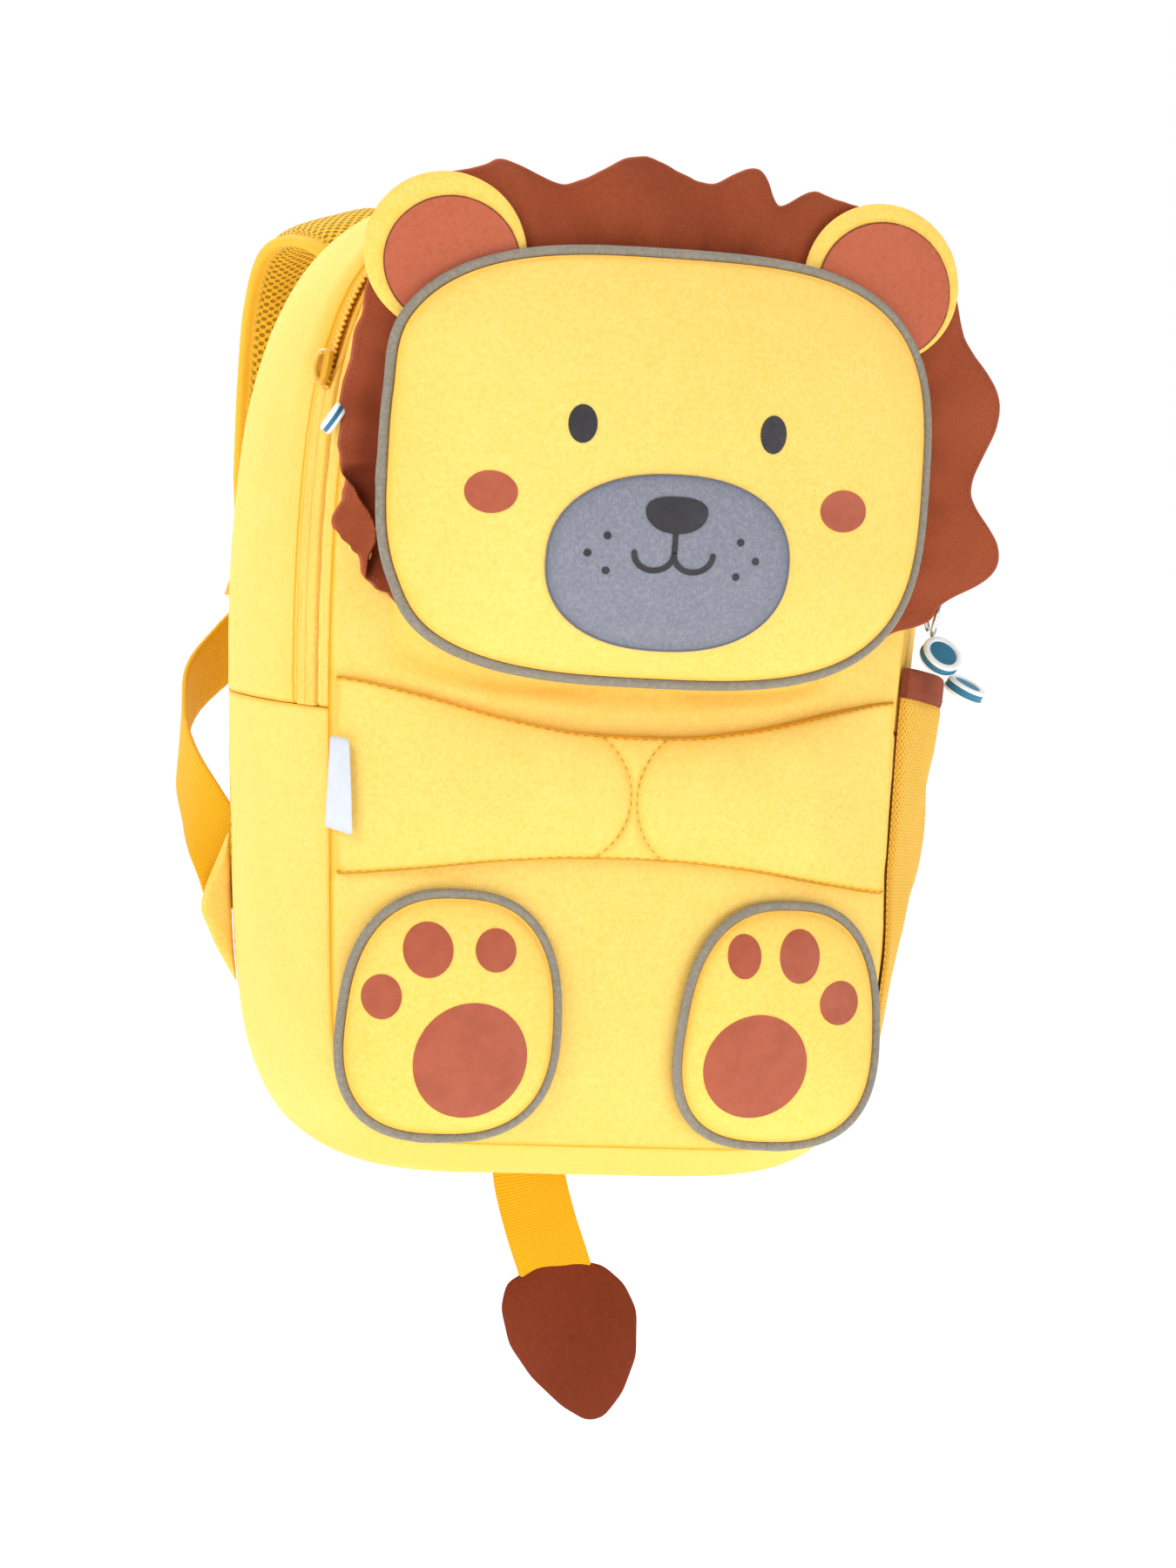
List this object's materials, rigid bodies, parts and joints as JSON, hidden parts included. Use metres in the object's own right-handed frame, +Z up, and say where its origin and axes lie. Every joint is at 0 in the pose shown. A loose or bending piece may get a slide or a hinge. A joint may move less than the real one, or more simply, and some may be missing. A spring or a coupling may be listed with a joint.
{
  "type": "toddler lion backpack",
  "caption": "Soft zipped toddler backpack shaped as a sitting lion, with a padded head, felt mane, round ears, paws, mesh side pocket, padded shoulder straps and a tail.",
  "frame": {"origin": "middle of the back panel's outer face, where the bag lies on the wearer's back", "axes": "+Z up, -Y the way the lion looks, +Y towards the wearer, +X to the right as seen from the front"},
  "size_m": [0.2358, 0.2632, 0.4068],
  "materials": {
    "body_cloth": "fine woven oxford polyester, matt with a faint sheen",
    "ear_cloth": "fine woven oxford polyester",
    "back_mesh": "padded air mesh, matt",
    "pocket_mesh": "open knitted mesh",
    "felt": "brushed felt, matt",
    "felt_tip": "brushed felt, matt",
    "terracotta_cloth": "fine woven polyester",
    "grey_cloth": "fine printed polyester, matt",
    "piping": "woven piping cord, matt",
    "binding": "ribbed woven binding tape",
    "webbing": "ribbed polyester webbing",
    "zip": "woven tape with shiny coil teeth",
    "label_cloth": "smooth woven label",
    "metal": "bright plated metal",
    "tag_rubber": "soft satin rubber with pale edges",
    "plastic": "moulded acetal"
  },
  "bodies": {
    "root": {"front_panel": "body_cloth", "gusset_lower": "body_cloth", "gusset_upper_front": "body_cloth", "zip_main": "zip", "gusset_upper_back": "body_cloth", "back_panel": "back_mesh", "face_panel": "body_cloth", "face_piping": "piping", "head_cushion": "body_cloth", "muzzle": "grey_cloth", "mane": "felt", "ear_left": "ear_cloth", "ear_left_inner": "terracotta_cloth", "ear_right": "ear_cloth", "ear_right_inner": "terracotta_cloth", "arms_panel": "body_cloth", "foot_left": "body_cloth", "foot_left_piping": "piping", "foot_right": "body_cloth", "foot_right_piping": "piping", "side_pocket": "pocket_mesh", "side_pocket_binding": "binding", "label": "label_cloth", "wing_tab_left": "body_cloth", "wing_tab_right": "body_cloth", "shoulder_strap_left": "body_cloth", "shoulder_strap_right": "body_cloth", "webbing_left": "webbing", "webbing_right": "webbing", "adjuster_left": "plastic", "adjuster_right": "plastic", "haul_loop": "webbing", "tail_webbing": "webbing", "tail_tip": "felt_tip", "zip_slider_left": "metal", "zip_slider_right": "metal", "zip_tag_left": "tag_rubber", "zip_ring_right": "metal", "zip_tag_right": "tag_rubber", "zip_tag_right_lower": "tag_rubber"}
  },
  "joints": []
}
